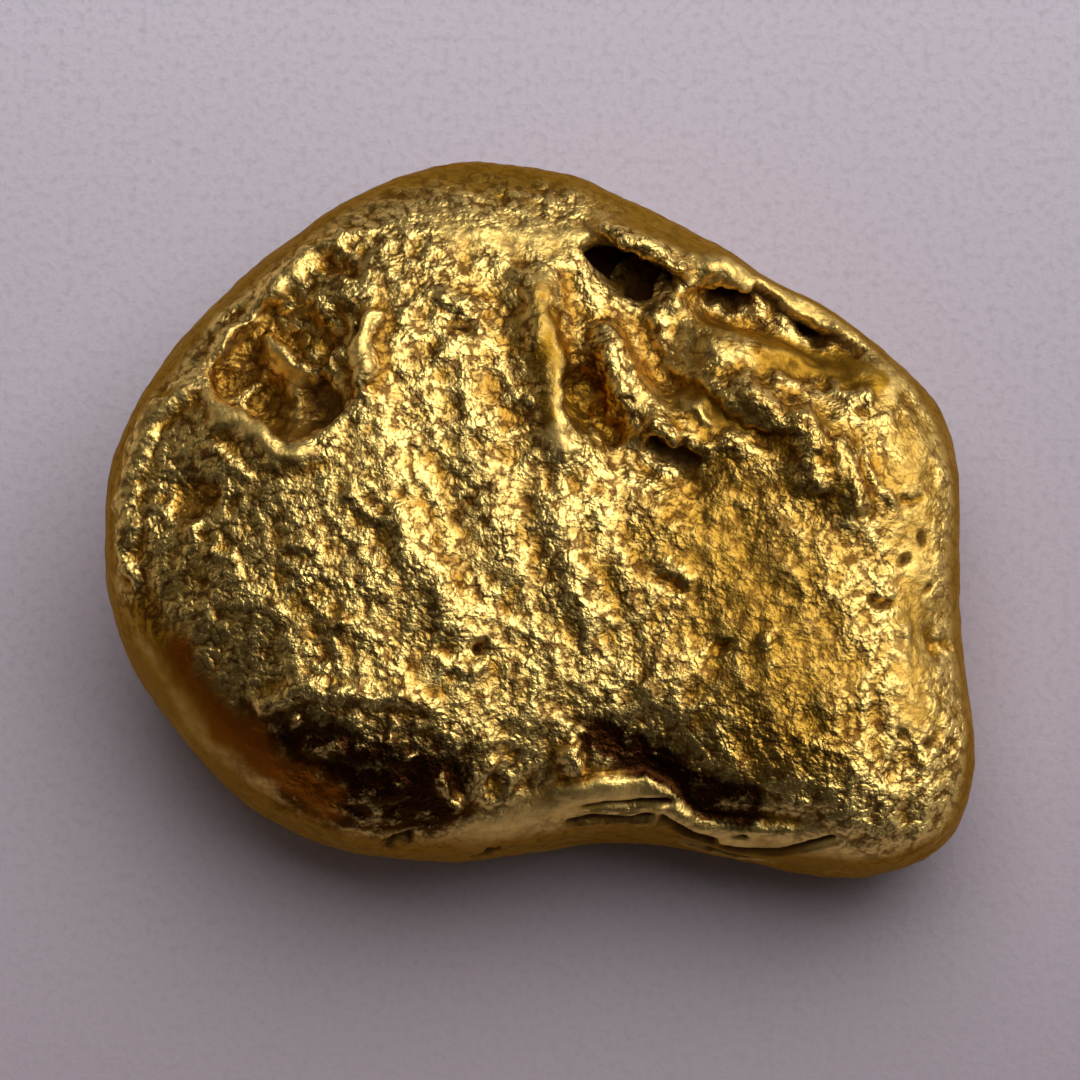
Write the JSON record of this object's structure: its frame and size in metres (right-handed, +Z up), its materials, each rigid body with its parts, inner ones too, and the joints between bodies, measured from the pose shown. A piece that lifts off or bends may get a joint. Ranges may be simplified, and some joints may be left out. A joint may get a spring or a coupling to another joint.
{
  "type": "gold nugget",
  "caption": "Small water-worn nugget of native gold, kidney-shaped in plan, with a thick left lobe, a pitted and folded top and a notched front edge.",
  "frame": {"origin": "centre of the bounding box in plan, on the surface the nugget lies on", "axes": "+X along the nugget's length, from the thick lobe to the thin one; +Y away from the notched front edge; +Z up"},
  "size_m": [0.0086, 0.0072, 0.0034],
  "materials": {
    "gold": "bare native gold, satin and finely peened by stream wear, with dark dirt in its deepest pits"
  },
  "bodies": {
    "root": {"nugget": "gold"}
  },
  "joints": []
}
